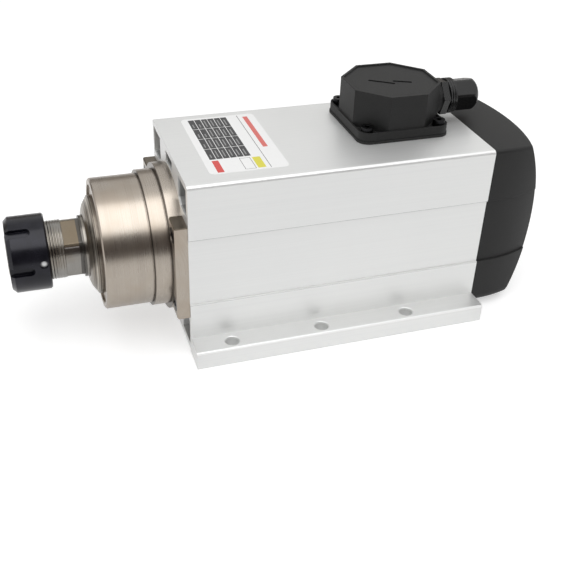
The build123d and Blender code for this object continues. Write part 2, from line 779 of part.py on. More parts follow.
def make_rear_cover():
    """The moulded cover: domed shell on the body's outline, screw posts and a ring grille."""
    block = cover_block(0, 0)
    block = fillet(long_edges(block)[1], top_corner_radius)
    block = fillet(long_edges(block)[0], cover_lower_radius)
    shell = block & cover_ball(0)
    rim = shell.faces().filter_by(GeomType.SPHERE)[0].edges()
    shell = fillet(rim, cover_edge_radius)
    band = cover_plan(0) - cover_plan(band_recess)
    shell -= Pos(0, 0, low_band_height) * extrude(band, high_band_height - low_band_height)
    room = cover_block(band_recess + cover_wall, cover_wall) & cover_ball(cover_wall)
    for y, z in cover_screw_places:
        room -= rod(rear_x, pole_x, cover_post_radius, y, z)
    shell -= room
    rings = Sketch()
    for k in range(grille_ring_count):
        inner = grille_inner_radius + k * (grille_slot + grille_bar)
        rings += Circle(inner + grille_slot) - Circle(inner)
    for k in range(grille_spokes):
        rings -= Rotation(0, 0, 30 + 360 * k / grille_spokes) * Pos(
            fan_radius, 0) * Rectangle(2 * fan_radius, grille_spoke_width)
    shell -= on_axis(across(fan_x + fan_length, pole_x + 1, rings))
    for y, z in cover_screw_places:
        seat = cover_screw_seat()
        shell -= rod(rear_x, seat, m4[0] + hole_clearance, y, z)
        shell -= rod(seat, pole_x, m4[1] + head_clearance, y, z)
    return shell


def cover_screw_seat():
    """Where the cover's screw heads sit, one head's height below the domed face."""
    reach = cover_dome_radius ** 2 - cover_screw_y ** 2 - cover_screw_rise ** 2
    return pole_x - cover_dome_radius + sqrt(reach) - m4[2] - 1


def make_cover_screws():
    """Long screws through the cover's posts into the body."""
    seat = cover_screw_seat()
    screw = Rotation(0, 0, 180) * socket_screw(m4, seat - rear_x + screw_grip - screw_end_gap)
    return [Pos(seat, y, z) * screw for y, z in cover_screw_places]


def make_bracket_screws():
    """The four screws that hold the rear bracket to the body."""
    face = rear_x + bracket_thickness
    screw = Rotation(0, 0, 180) * socket_screw(m5, bracket_thickness + screw_grip - screw_end_gap)
    return [Pos(face, y, z) * screw for y, z in bracket_screw_places]


# ---- terminal box ----
def octagon(size):
    """A regular octagon with flat sides square to X and Y, given its size across flats."""
    return Rotation(0, 0, 22.5) * RegularPolygon(size / 2, 8, major_radius=False)


def make_terminal_gasket():
    """The flat gasket under the terminal box."""
    size = box_flange + 2 * gasket_lip
    sheet = RectangleRounded(size, size, box_corner_radius + gasket_lip)
    sheet -= octagon(tower_across - 2 * (box_wall + gasket_inner_lip))
    gasket = Pos(box_x, box_y, body_height) * extrude(sheet, gasket_thickness)
    for x, y in box_screw_places:
        gasket -= post(m4[0] + hole_clearance, body_height, box_base, x, y)
    return gasket


def make_terminal_cap():
    """The octagonal cap with a flange, sunk corner pockets, a rimmed top and the gland hole."""
    top = body_height + box_height
    height = top - box_base
    place = Pos(box_x, box_y, box_base)
    flange = extrude(RectangleRounded(box_flange, box_flange, box_corner_radius), box_flange_height)
    lip = box_flange - 2 * pocket_lip
    pockets = RectangleRounded(lip, lip, box_corner_radius - pocket_lip) - octagon(tower_across)
    flange -= Pos(0, 0, box_flange_height - pocket_depth) * extrude(pockets, pocket_depth)
    cap = flange + extrude(octagon(tower_across), height)
    cap -= extrude(octagon(tower_across - 2 * box_wall), height - box_wall)
    panel = extrude(octagon(tower_across - 2 * panel_rim), panel_recess)
    cap -= Pos(0, 0, height - panel_recess) * panel
    cap = place * cap
    for x, y in box_screw_places:
        cap -= post(m4[0] + hole_clearance, box_base, top, x, y)
    cap += rod(tower_x - box_wall, gland_boss_x, gland_boss_radius, box_y, gland_z)
    cap -= rod(tower_x - 2 * box_wall, gland_boss_x, gland_thread_radius + gland_wall_clearance,
               box_y, gland_z)
    return cap


def make_terminal_screws():
    """The four cap screws of the terminal box."""
    seat = box_base + box_flange_height - pocket_depth
    screw = Rotation(0, 90, 0) * socket_screw(m4, seat - body_height + box_screw_grip - box_screw_end_gap)
    return [Pos(x, y, seat) * screw for x, y in box_screw_places]


def make_terminal_block():
    """The insulating block on a plate over the lead hole, with barriers between its ways."""
    plate_top = body_height + block_plate
    plate = Rectangle(block_length + 2 * block_ear, block_width)
    bed = Rectangle(block_length, block_width / 2)
    barrier = Rectangle(block_barrier, block_width / 2)
    block = Pos(box_x, box_y, body_height) * extrude(plate, block_plate)
    block += Pos(box_x, ways_y, plate_top) * extrude(bed, block_height - block_plate - block_way_drop)
    for k in range(block_ways + 1):
        x = box_x + (k - block_ways / 2) * way_width
        block += Pos(x, ways_y, plate_top) * extrude(barrier, block_height - block_plate)
    for x, y in lead_places:
        block -= post(lead_radius + hole_clearance, body_height, plate_top, x, y)
    return block


def make_terminal_studs():
    """A threaded stud with a nut in each way of the block."""
    low = body_height + block_height - block_way_drop
    nut = extrude(RegularPolygon(2 * stud_radius, 6), stud_nut_height)
    studs = []
    for k in range(block_ways):
        x = box_x + (k - (block_ways - 1) / 2) * way_width
        stud = post(stud_radius, low, low + stud_length, x, ways_y)
        studs.append(stud + Pos(x, ways_y, low) * nut)
    return studs


def make_motor_leads():
    """Three leads rising from the rear end turns to the terminal block."""
    end_turn = on_axis(rod(stack_end_x, stack_end_x + winding_overhang, winding_outer_radius, 0, 0))
    return [post(lead_radius, axis_height + winding_inner_radius, body_height + lead_rise, x, y)
            - end_turn for x, y in lead_places]


# ---- cable gland ----
def gland_turned(*outline):
    """A solid turned about the gland's axis from (x, radius) points."""
    return Pos(0, box_y, gland_z) * revolve(make_face(Polyline(*outline, close=True)), Axis.X)


def gland_hexagon(across_flats, turn):
    """A hexagon in (y, z) with a corner turned from the -Y side towards +Z."""
    return Rotation(0, 0, 180 - turn) * RegularPolygon(across_flats / 2, 6, major_radius=False)


def make_gland_body():
    """The gland's body: spigot through the wall, hexagon and the thread for the dome nut."""
    inner_end = tower_x - box_wall - gland_locknut_length - gland_spigot_end
    room = gland_seal_radius + gland_seal_clearance
    passage = gland_cable_radius + gland_wall_clearance
    body = gland_turned((inner_end, passage), (inner_end, gland_thread_radius),
                        (gland_hex_x, gland_thread_radius), (gland_hex_x, gland_outer_thread),
                        (gland_thread_end, gland_outer_thread), (gland_thread_end, room),
                        (gland_hex_x, room), (gland_hex_x, passage))
    hexagon = gland_hexagon(gland_hex, gland_hex_turn) - Circle(gland_thread_radius - gland_hex_overlap)
    return body + Pos(0, box_y, gland_z) * across(gland_face_x, gland_hex_x, hexagon)


def make_gland_face_seal():
    """The flat seal between the gland's hexagon and the box's boss."""
    edge = gland_hex / 2 - gland_wall_clearance
    return gland_turned((gland_boss_x, gland_thread_radius), (gland_boss_x, edge),
                        (gland_face_x, edge), (gland_face_x, gland_thread_radius))


def make_gland_locknut():
    """The hexagonal locknut inside the box."""
    end = tower_x - box_wall
    hexagon = Rotation(0, 0, 30) * RegularPolygon(gland_locknut_across / 2, 6, major_radius=False)
    return Pos(0, box_y, gland_z) * across(end - gland_locknut_length, end,
                                          hexagon - Circle(gland_thread_radius))


def make_gland_nut():
    """The dome nut: a collar, six grip flats and a domed end with a mouth for the cable."""
    bore = gland_outer_thread + gland_thread_clearance
    room = gland_seal_radius + gland_seal_clearance
    dome_x = gland_end_x - gland_dome_length
    collar_end = gland_nut_x + gland_collar_length
    bend = gland_dome_length / sqrt(2)
    face = gland_nut_radius - gland_dome_length / 2
    dome_arc = ThreePointArc((dome_x, gland_nut_radius),
                             (dome_x + bend, gland_nut_radius - (gland_dome_length - bend) / 2),
                             (gland_end_x, face))
    lines = Polyline((gland_end_x, face), (gland_end_x, gland_mouth_radius),
                     (gland_lip_x, gland_mouth_radius), (gland_lip_x, room),
                     (gland_thread_end + gland_hex_gap, bore), (gland_nut_x, bore),
                     (gland_nut_x, gland_nut_radius), (dome_x, gland_nut_radius))
    round_nut = revolve(make_face([dome_arc, lines]), Axis.X)
    flats = across(gland_nut_x, gland_end_x, gland_hexagon(gland_nut_flats, gland_nut_turn))
    collar = revolve(make_face(Polyline((gland_nut_x, bore), (gland_nut_x, gland_collar_radius),
                                        (collar_end, gland_collar_radius), (collar_end, bore),
                                        close=True)), Axis.X)
    return Pos(0, box_y, gland_z) * ((round_nut & flats) + collar)


def make_gland_seal():
    """The rubber bush that closes round the cable, with a nose in the dome nut's mouth."""
    start, shoulder = gland_hex_x + gland_hex_gap, gland_lip_x - gland_seal_clearance
    end = gland_end_x - gland_seal_clearance
    return gland_turned((start, gland_cable_radius), (start, gland_seal_radius),
                        (shoulder, gland_seal_radius), (shoulder, gland_nose_radius),
                        (end, gland_nose_radius), (end, gland_cable_radius))


# ---- every sub-part by name ----
front_starts = (front_bearing_x, second_bearing_x)
rear_starts = (rear_bearing_x, rear_bearing_x + rear_width)
front_outers, front_inners = make_bearing_rings(front_starts, front_bore, front_outer, front_width,
                                                front_ball)
rear_outers, rear_inners = make_bearing_rings(rear_starts, rear_bore, rear_outer, rear_width,
                                              rear_ball)
spacer_x = front_bearing_x + front_width
parts = {
    "body_extrusion": make_body_extrusion(),
    "front_bearing_housing": make_front_bearing_housing(),
    "front_cap": make_front_cap(),
    "front_cap_screws": make_cap_screws(),
    "flange_screws": make_flange_screws(),
    "front_bearing_outer_rings": front_outers,
    "front_outer_spacer": ring(spacer_x, second_bearing_x, front_outer - spacer_wall,
                               front_outer),
    "stator_core": make_stator_core(),
    "stator_windings": make_stator_windings(),
    "motor_leads": make_motor_leads(),
    "rear_bearing_bracket": make_rear_bearing_bracket(),
    "bracket_screws": make_bracket_screws(),
    "rear_bearing_outer_rings": rear_outers,
    "preload_spring": make_preload_spring(),
    "rear_cover": make_rear_cover(),
    "rear_cover_screws": make_cover_screws(),
    "terminal_gasket": make_terminal_gasket(),
    "terminal_cap": make_terminal_cap(),
    "terminal_cap_screws": make_terminal_screws(),
    "terminal_block": make_terminal_block(),
    "terminal_studs": make_terminal_studs(),
    "gland_body": make_gland_body(),
    "gland_face_seal": make_gland_face_seal(),
    "gland_locknut": make_gland_locknut(),
    "gland_nut": make_gland_nut(),
    "gland_seal": make_gland_seal(),
    "spindle_shaft": make_spindle_shaft(),
    "dust_ring": ring(front_bearing_x - abutment_length - dust_ring_length,
                      front_bearing_x - abutment_length, collar_radius, dust_ring_radius),
    "front_bearing_inner_rings": front_inners,
    "front_inner_spacer": ring(spacer_x, second_bearing_x, front_bore, front_bore + spacer_wall),
    "front_bearing_locknut": ring(front_seat_end, front_seat_end + locknut_length, front_bore,
                                  locknut_radius, shaft_chamfer),
    "rotor_core": ring(stack_x, stack_end_x, rotor_seat_radius, stator_inner_radius - air_gap),
    "rotor_end_rings": make_rotor_end_rings(),
    "rear_bearing_inner_rings": rear_inners,
    "rear_bearing_locknut": ring(rear_seat_end, rear_seat_end + rear_locknut_length, rear_bore,
                                 rear_locknut_radius, shaft_chamfer),
    "cooling_fan": make_fan(),
    "fan_retaining_ring": ring(fan_x + fan_length, fan_x + fan_length + fan_clip_length,
                               fan_seat_radius, fan_clip_radius),
    "front_bearing_balls": make_balls(front_starts, front_bore, front_outer, front_width,
                                      front_ball, front_balls),
    "front_bearing_cages": make_cages(front_starts, front_bore, front_outer, front_width,
                                      front_ball, front_balls),
    "rear_bearing_balls": make_balls(rear_starts, rear_bore, rear_outer, rear_width, rear_ball,
                                     rear_balls),
    "rear_bearing_cages": make_cages(rear_starts, rear_bore, rear_outer, rear_width, rear_ball,
                                     rear_balls),
    "collet": make_collet(),
    "collet_nut": make_collet_nut(),
}

os.makedirs("parts", exist_ok=True)
for name, shape in parts.items():
    solids = Compound(children=list(shape)) if isinstance(shape, list) else shape
    solids.label = name
    export_step(solids, f"parts/{name}.step")
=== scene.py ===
"""The looks of a square air-cooled motor spindle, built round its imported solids.

Everything is in metres in the part's own frame: the spindle axis runs along X with the nose
towards -X, +Z is up, and the feet stand on z = 0.
"""
import json

import bpy
import numpy as np
from mathutils import Matrix


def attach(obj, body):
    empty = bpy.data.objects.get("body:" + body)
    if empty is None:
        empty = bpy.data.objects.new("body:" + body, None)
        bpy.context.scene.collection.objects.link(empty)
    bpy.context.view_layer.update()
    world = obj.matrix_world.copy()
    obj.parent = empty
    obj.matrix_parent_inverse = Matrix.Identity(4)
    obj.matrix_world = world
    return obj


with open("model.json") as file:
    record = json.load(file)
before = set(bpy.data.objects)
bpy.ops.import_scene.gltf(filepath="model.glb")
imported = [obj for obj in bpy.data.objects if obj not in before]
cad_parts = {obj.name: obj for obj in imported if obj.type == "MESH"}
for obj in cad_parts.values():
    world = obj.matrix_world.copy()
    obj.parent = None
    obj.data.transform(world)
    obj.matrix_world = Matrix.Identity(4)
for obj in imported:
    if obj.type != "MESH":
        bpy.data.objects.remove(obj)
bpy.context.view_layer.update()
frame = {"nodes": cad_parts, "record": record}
nodes = frame["nodes"]
MM = 0.001
AXIS_Z = 53.5 * MM

# Places of details in the finishes, in millimetres of the part's own frame; a pair is a band.
SIDE_Y = 44.7                                          # the body's long sides start here
LEDGE_SHADES = ((73.95, 74.35), (33.0, 33.25))                # painted shade under the ledges along the sides
LIP_HIGHLIGHTS = ((74.35, 74.6), (34.3, 34.75))                  # painted highlights on the upward lips over the ledges
FOOT_HIGHLIGHT = (9.6, 10.8)                                 # painted highlight on the upper corner of the feet
DUCT_Y, DUCTS_Z, DUCT_X = 41.5, (14.0, 102.0), -73.5   # painted shade inside the body's air ducts
STEP_CREASE_SHADES = ((-91.5, -91.1), (-82.3, -81.8))              # painted shade in the creases between the steps of the nose
CAP_X = -117.7                                         # the darker cap starts here
CAP_GROOVE_SHADES = ((-119.2, -118.8), (-121.5, -121.2))     # painted shade of grooves round the cap
CAP_RIDGE_HIGHLIGHT = (-120.6, -120.2)                           # a painted highlight ring between them
FLANGE_TOP, FLANGE_RADIUS = 81.2, 41.9                 # above and outside these, a painted dark brown reflection
FLATS = (-135.4, -127.5)                               # the spanner flats, along the shaft
FLAT_TOP, FLAT_CORNER_HIGHLIGHT = 61.4, (60.9, 61.5)             # brown above, a painted highlight on the corner
COLLAR = (-127.6, -124.6)                              # dark, between the flats and the cap
NUT_HOLE_X, NUT_RADIUS = -147.1, 20.5                  # the nut's balance holes
NUT_FLOOR = 20.8                                       # inside this radius, a hole's wall
NUT_HOLE_TURN, NUT_HOLES_APART = 9.5, 180.0            # both in degrees
HOLE_RADIUS, CONE = 2.1, (0.6, 1.9)                    # the cone darkens between these two
GLAND_RIBS = (92.0, 96.4, 1.45)                        # start, end and pitch

# Places and sizes of the computed surfaces, in the same millimetres.
THREAD = (-155.2, -135.55, 1.5)                        # start, end and pitch
THREAD_SIDES, STEPS_PER_PITCH = 96, 12
LABEL = (-59.6, -16.2, -34.0, 38.3)                    # from x, to x, from y, to y
TABLE = (-56.0, -33.02, -17.5, 36.2)                   # the same four of its dark table
LABEL_CORNER, LABEL_LOW, LABEL_HIGH = 3.0, 105.45, 105.62
TABLE_STRIP, TABLE_CELL = 3.83, 13.43                  # pitches along X and along Y
STROKE_WIDTH, LID_LOW, LID_HIGH = 1.25, 130.65, 130.95
LID_STROKES = {"left": [(44.7, 10.9), (51.2, 6.7), (57.4, 2.6)],
               "right": [(57.9, 6.6), (63.0, 4.4), (67.7, 2.4)]}


# ---------------------------------------------------------------- shader arithmetic
class Signal:
    """One socket of a node tree, which takes part in arithmetic by adding Math nodes."""

    def __init__(self, owner, socket):
        self.owner, self.socket = owner, socket

    def out(self, name):
        """Another output of the same node."""
        return Signal(self.owner, self.socket.node.outputs[name])

    def __add__(self, other):
        return self.owner.math("ADD", self, other)

    def __sub__(self, other):
        return self.owner.math("SUBTRACT", self, other)

    def __rsub__(self, other):
        return self.owner.math("SUBTRACT", other, self)

    def __mul__(self, other):
        return self.owner.math("MULTIPLY", self, other)

    def __truediv__(self, other):
        return self.owner.math("DIVIDE", self, other)

    def __gt__(self, other):
        return self.owner.math("GREATER_THAN", self, other)

    def __lt__(self, other):
        return self.owner.math("LESS_THAN", self, other)

    __radd__ = __add__
    __rmul__ = __mul__


class Nodes:
    """A node tree, with one method for every node and short ones for those used most."""

    def __init__(self, tree):
        self.tree = tree

    def feed(self, socket, value):
        """Links a signal to a socket, or sets the socket's own value."""
        if isinstance(value, Signal):
            self.tree.links.new(value.socket, socket)
        elif value is not None:
            socket.default_value = value

    def node(self, kind, settings=None, inputs=None):
        """Adds a node, sets its settings, then its sockets, and returns its first output."""
        node = self.tree.nodes.new(kind)
        for key, value in (settings or {}).items():
            setattr(node, key, value)
        for key, value in (inputs or {}).items():
            self.feed(node.inputs[key], value)
        return Signal(self, next(s for s in node.outputs if s.enabled))

    def math(self, operation, first, second=None):
        """A Math node on signals or numbers."""
        return self.node("ShaderNodeMath", {"operation": operation}, {0: first, 1: second})

    def band(self, value, low, high):
        """1 where a value lies between two others, and 0 elsewhere."""
        return (value > low) * (value < high)

    def bands(self, value, pairs):
        """1 where a value lies inside any of some pairs, which don't overlap."""
        return sum(self.band(value, *pair) for pair in pairs)

    def seen(self, reflected=1.0):
        """1 to the camera and through clear pieces, this much in reflections, 0 to the rest."""
        path = self.node("ShaderNodeLightPath")
        mirrored = path.out("Is Glossy Ray") * reflected
        either = self.math("MAXIMUM", path.out("Is Camera Ray"), mirrored)
        return self.math("MAXIMUM", either, path.out("Is Transmission Ray"))


class Look(Nodes):
    """A material: its shader, its coordinates and the arithmetic of its sockets."""

    def __init__(self, name, **constants):
        self.material = bpy.data.materials.new(name)
        self.material.use_nodes = True
        super().__init__(self.material.node_tree)
        self.shader = next(n for n in self.tree.nodes if n.type == "BSDF_PRINCIPLED")
        self.set(**constants)
        self.place = self.node("ShaderNodeTexCoord").out("Object")
        self.x, self.y, self.z = self.split(self.place)

    def set(self, **values):
        """Feeds the shader's sockets, named in small letters, and returns the material."""
        for key, value in values.items():
            socket = key.replace("_", " ").title().replace("Ior", "IOR")
            self.feed(self.shader.inputs[socket], value)
        return self.material

    def split(self, vector):
        """The three parts of a vector."""
        node = self.node("ShaderNodeSeparateXYZ", None, {0: vector})
        return node.out("X"), node.out("Y"), node.out("Z")

    def vector(self, x, y, z):
        """A vector made of three signals or numbers."""
        return self.node("ShaderNodeCombineXYZ", None, {0: x, 1: y, 2: z})

    def about_axis(self):
        """Distance from the spindle axis, and the turn about it, from 0 to 1."""
        up = self.z - AXIS_Z
        radius = self.math("SQRT", self.y * self.y + up * up)
        turn = self.math("ARCTAN2", up, self.y) / (2 * np.pi) + 0.5
        return radius, turn

    def noise(self, place, scale, detail=3.0, rough=0.55):
        """Soft noise between 0 and 1."""
        return self.node("ShaderNodeTexNoise", None,
                         {"Vector": place, "Scale": scale, "Detail": detail, "Roughness": rough})

    def mix(self, factor, first, second):
        """One colour passing into another as factor goes from 0 to 1."""
        mixed = self.node("ShaderNodeMix", {"data_type": "RGBA"}, {0: factor, 6: first, 7: second})
        return Signal(self, mixed.socket.node.outputs[2])

    def span(self, value, low, high):
        """Maps low..high onto 0..1 smoothly, and stops at both ends."""
        return self.node("ShaderNodeMapRange", {"interpolation_type": "SMOOTHSTEP"},
                         {0: value, 1: low, 2: high})

    def bump(self, height, strength, distance, normal=None):
        """A Bump node on a height, on top of another normal if one is given."""
        return self.node("ShaderNodeBump", None,
                         {"Strength": strength, "Distance": distance, "Height": height,
                          "Normal": normal})

    def rounded(self, radius):
        """A normal that is rounded over the edges by this radius."""
        return self.node("ShaderNodeBevel", {"samples": 4}, {"Radius": radius})


def rgba(red, green, blue):
    """A colour with full alpha."""
    return (red, green, blue, 1.0)


def grey(value):
    """A neutral colour."""
    return rgba(value, value, value)


# ---------------------------------------------------------------- finishes
def anodised_aluminium():
    """Satin clear anodised extrusion: fine drawn lines along X, faint clouding."""
    look = Look("anodised_aluminium", metallic=0.65)
    lines = look.noise(look.vector(look.x * 6, look.y * 900, look.z * 900), 1.0, 4.0, 0.6)
    cloud = look.noise(look.place, 9.0, 2.0)
    grain = look.noise(look.place, 2600.0, 2.0)
    shade = look.span(lines, 0.3, 0.7) * 0.35 + look.span(cloud, 0.3, 0.7) * 0.65
    colour = look.mix(shade, rgba(0.80, 0.805, 0.80), rgba(0.85, 0.855, 0.845))
    x, z, across = look.x / MM, look.z / MM, look.math("ABSOLUTE", look.y) / MM
    side = across > SIDE_Y
    ledge_shade, lip_highlight = look.bands(z, LEDGE_SHADES), look.bands(z, LIP_HIGHLIGHTS)
    # painted shade: a dark line under the ledges on the long sides
    colour = look.mix(side * ledge_shade * 0.45, colour, rgba(0.30, 0.31, 0.31))
    # painted highlight: a bright line along the upward-facing lips
    colour = look.mix(side * lip_highlight * 0.7, colour, grey(0.95))
    # painted highlight along the top of the feet
    colour = look.mix(side * look.band(z, *FOOT_HIGHLIGHT) * 0.75, colour, rgba(0.97, 0.97, 0.965))
    # painted shade darkens the inside of the air ducts
    duct_shade = (across < DUCT_Y) * look.band(z, *DUCTS_Z) * (x > DUCT_X)
    colour = look.mix(duct_shade * 0.6, colour, rgba(0.16, 0.16, 0.155))
    height = lines * 0.6 + grain * 0.5
    return look.set(base_color=colour, roughness=0.36 + 0.10 * cloud + 0.06 * lines,
                    normal=look.bump(height, 0.12, 0.00006, look.rounded(0.0004)))


def turned_steel(name, tones, rough, cut, tint=None):
    """Turned steel about the spindle axis: fine rings that vary along X and with radius."""
    dark, pale, warm = (rgba(*tone) for tone in tones)
    look = Look(name, metallic=1.0)
    radius, turn = look.about_axis()
    reach = look.x + radius * 1.13
    rings = look.noise(look.vector(reach * cut, 0.0, turn * 1.5), 1.0, 5.0, 0.7)
    bands = look.noise(look.vector(reach * 220, 0.0, 0.0), 1.0, 2.0)
    cloud = look.noise(look.place, 60.0, 3.0)
    shade = look.span(rings, 0.25, 0.75) * 0.5 + look.span(bands, 0.2, 0.8) * 0.25 + 0.12
    colour = look.mix(shade, dark, pale)
    colour = look.mix(look.span(cloud, 0.35, 0.75) * 0.6, colour, warm)
    if tint:
        colour = tint(look, colour)
    return look.set(base_color=colour, roughness=rough - 0.05 + 0.10 * rings + 0.07 * cloud,
                    normal=look.bump(rings, 0.2, 0.00003, look.rounded(0.0003)))


def housing_tint(look, colour):
    """Painted crease shade between the steps, a darker cap ringed with painted groove shade and a
    painted highlight ring, and a painted dark brown reflection on the flange top.
    """
    x, z, radius = look.x / MM, look.z / MM, look.about_axis()[0] / MM
    # painted shade in the creases between the nose's steps
    colour = look.mix(look.bands(x, STEP_CREASE_SHADES) * 0.7, colour, rgba(0.05, 0.04, 0.032))
    colour = look.mix((x < CAP_X) * 0.75, colour, rgba(0.21, 0.185, 0.155))
    # painted shade of grooves round the cap, then a painted highlight ring
    colour = look.mix(look.bands(x, CAP_GROOVE_SHADES) * 0.8, colour, rgba(0.04, 0.035, 0.03))
    colour = look.mix(look.band(x, *CAP_RIDGE_HIGHLIGHT) * 0.7, colour, rgba(0.62, 0.58, 0.51))
    # painted reflection: a dark brown tone on the flange top
    flange = (radius > FLANGE_RADIUS) * (z > FLANGE_TOP)
    return look.mix(flange * 0.85, colour, rgba(0.12, 0.10, 0.075))


def shaft_tint(look, colour):
    """A browner upper flat with a painted highlight on its corner, and a dark collar before the
    cap.
    """
    x, z = look.x / MM, look.z / MM
    flats = look.band(x, *FLATS)
    colour = look.mix(flats * (z > FLAT_TOP) * 0.75, colour, rgba(0.20, 0.155, 0.10))
    # painted highlight along the corner of the upper flat
    corner = flats * look.band(z, *FLAT_CORNER_HIGHLIGHT)
    colour = look.mix(corner * 0.9, colour, rgba(0.9, 0.89, 0.88))
    return look.mix(look.band(x, *COLLAR) * 0.75, colour, rgba(0.06, 0.057, 0.053))


def ground_metal(name, colour, rough):
    """Fine ground or rolled bright metal with faint scratches."""
    look = Look(name, metallic=1.0)
    grain = look.noise(look.place, 900.0, 4.0, 0.7)
    cloud = look.noise(look.place, 70.0, 2.0)
    low = rgba(*(0.85 * c for c in colour))
    tone = look.mix(look.span(cloud, 0.3, 0.7), low, rgba(*colour))
    return look.set(base_color=tone, roughness=rough - 0.06 + 0.14 * grain,
                    normal=look.bump(grain, 0.15, 0.00002, look.rounded(0.0002)))


def black_oxide():
    """Blue-black oxide over turned steel, with bright drilled balance holes in the nut."""
    look = Look("black_oxide", metallic=0.35, specular_ior_level=0.42)
    radius, turn = look.about_axis()
    reach = (look.x + radius * 1.3) * 5200
    rings = look.noise(look.vector(reach, 0.0, turn * 2), 1.0, 4.0, 0.7)
    cloud = look.noise(look.place, 110.0, 4.0, 0.6)
    colour = look.mix(look.span(cloud, 0.3, 0.7), rgba(0.006, 0.006, 0.010),
                      rgba(0.013, 0.013, 0.020))
    colour = look.mix(look.span(rings, 0.62, 0.85) * 0.25, colour, rgba(0.035, 0.036, 0.046))
    half = NUT_HOLES_APART / 2
    past = look.math("FLOORED_MODULO", turn * 360 + NUT_HOLE_TURN + half, NUT_HOLES_APART) - half
    along, about = look.x / MM - NUT_HOLE_X, past * np.radians(NUT_RADIUS)
    off = look.math("SQRT", along * along + about * about)
    drilled = (radius / MM < NUT_FLOOR) * (off < HOLE_RADIUS)
    cone = look.mix(look.span(off, *CONE), grey(0.85), rgba(0.12, 0.12, 0.125))
    colour = look.mix(drilled, colour, cone)
    height = rings * 0.7 + cloud * 0.3
    return look.set(base_color=colour, roughness=0.15 + 0.12 * cloud + 0.06 * rings,
                    normal=look.bump(height, 0.25, 0.00003, look.rounded(0.00035)))


def moulded_plastic(name, shade, rough, grain_size, depth, radius, gloss, ribs=None):
    """Black moulded plastic with a fine spark-eroded texture, and ribs over a length of X with
    painted shade in their troughs.
    """
    look = Look(name, specular_ior_level=gloss)
    fine = look.noise(look.place, 1.0 / grain_size, 3.0, 0.6)
    cloud = look.noise(look.place, 28.0, 3.0)
    mottle = look.span(fine, 0.3, 0.7) * 0.5 + look.span(cloud, 0.3, 0.7) * 0.5
    colour = look.mix(mottle, grey(shade * 0.75), grey(shade * 1.25))
    normal = look.bump(look.span(fine, 0.3, 0.75), depth, 0.00008, look.rounded(radius))
    if ribs:
        start, end, pitch = ribs
        x = look.x / MM
        wave = look.math("SINE", (x - start) * (2 * np.pi / pitch)) * look.band(x, start, end)
        normal = look.bump(wave, 0.9, 0.0004, normal)
        # painted shade darkens the troughs between the ribs
        colour = look.mix((wave < -0.3) * 0.8, colour, grey(0.001))
    return look.set(base_color=colour, roughness=rough - 0.05 + 0.1 * fine + 0.05 * cloud,
                    normal=normal)


def winding_copper():
    """Varnished copper wire: fine strands wound round the bore."""
    look = Look("winding_copper", metallic=0.8)
    radius = look.about_axis()[0]
    strand = look.node("ShaderNodeTexWave", {"wave_type": "BANDS", "bands_direction": "X"},
                       {"Vector": look.vector(look.x + radius, 0.0, 0.0), "Scale": 300.0,
                        "Distortion": 2.0, "Detail": 2.0})
    colour = look.mix(strand, rgba(0.22, 0.07, 0.025), rgba(0.62, 0.27, 0.12))
    return look.set(base_color=colour, roughness=0.3 + 0.2 * strand,
                    normal=look.bump(strand, 0.6, 0.0003))


def stacked_sheet():
    """The stack of thin electrical sheets: half-millimetre layers along X."""
    look = Look("stacked_sheet", metallic=0.9)
    layer = look.node("ShaderNodeTexWave", {"wave_type": "BANDS", "bands_direction": "X"},
                      {"Vector": look.place, "Scale": 320.0, "Distortion": 0.3, "Detail": 1.0})
    cloud = look.noise(look.place, 80.0, 3.0)
    colour = look.mix(layer * 0.6 + cloud * 0.4, rgba(0.10, 0.10, 0.11), rgba(0.3, 0.3, 0.31))
    return look.set(base_color=colour, roughness=0.42 + 0.2 * cloud,
                    normal=look.bump(layer, 0.4, 0.0001))


def speckled(name, low, high, rough, size, depth, metallic=0.0):
    """A plain finish with a fine mottled tone and grain, for cast, rubber and resin pieces."""
    look = Look(name, metallic=metallic)
    fine = look.noise(look.place, 1.0 / size, 4.0, 0.6)
    cloud = look.noise(look.place, 40.0, 2.0)
    colour = look.mix(fine * 0.5 + cloud * 0.5, rgba(*low), rgba(*high))
    return look.set(base_color=colour, roughness=rough - 0.06 + 0.14 * fine,
                    normal=look.bump(fine, depth, 0.0001, look.rounded(0.0003)))


def painted_groove_shade():
    """Painted groove shade: matt black for the raised strokes on the lid, darker than the lid
    itself.
    """
    look = Look("lid_groove_shade", roughness=0.95, specular_ior_level=0.05)
    shade = look.noise(look.place, 1500.0, 3.0)
    return look.set(base_color=look.mix(shade, grey(0.002), grey(0.006)))


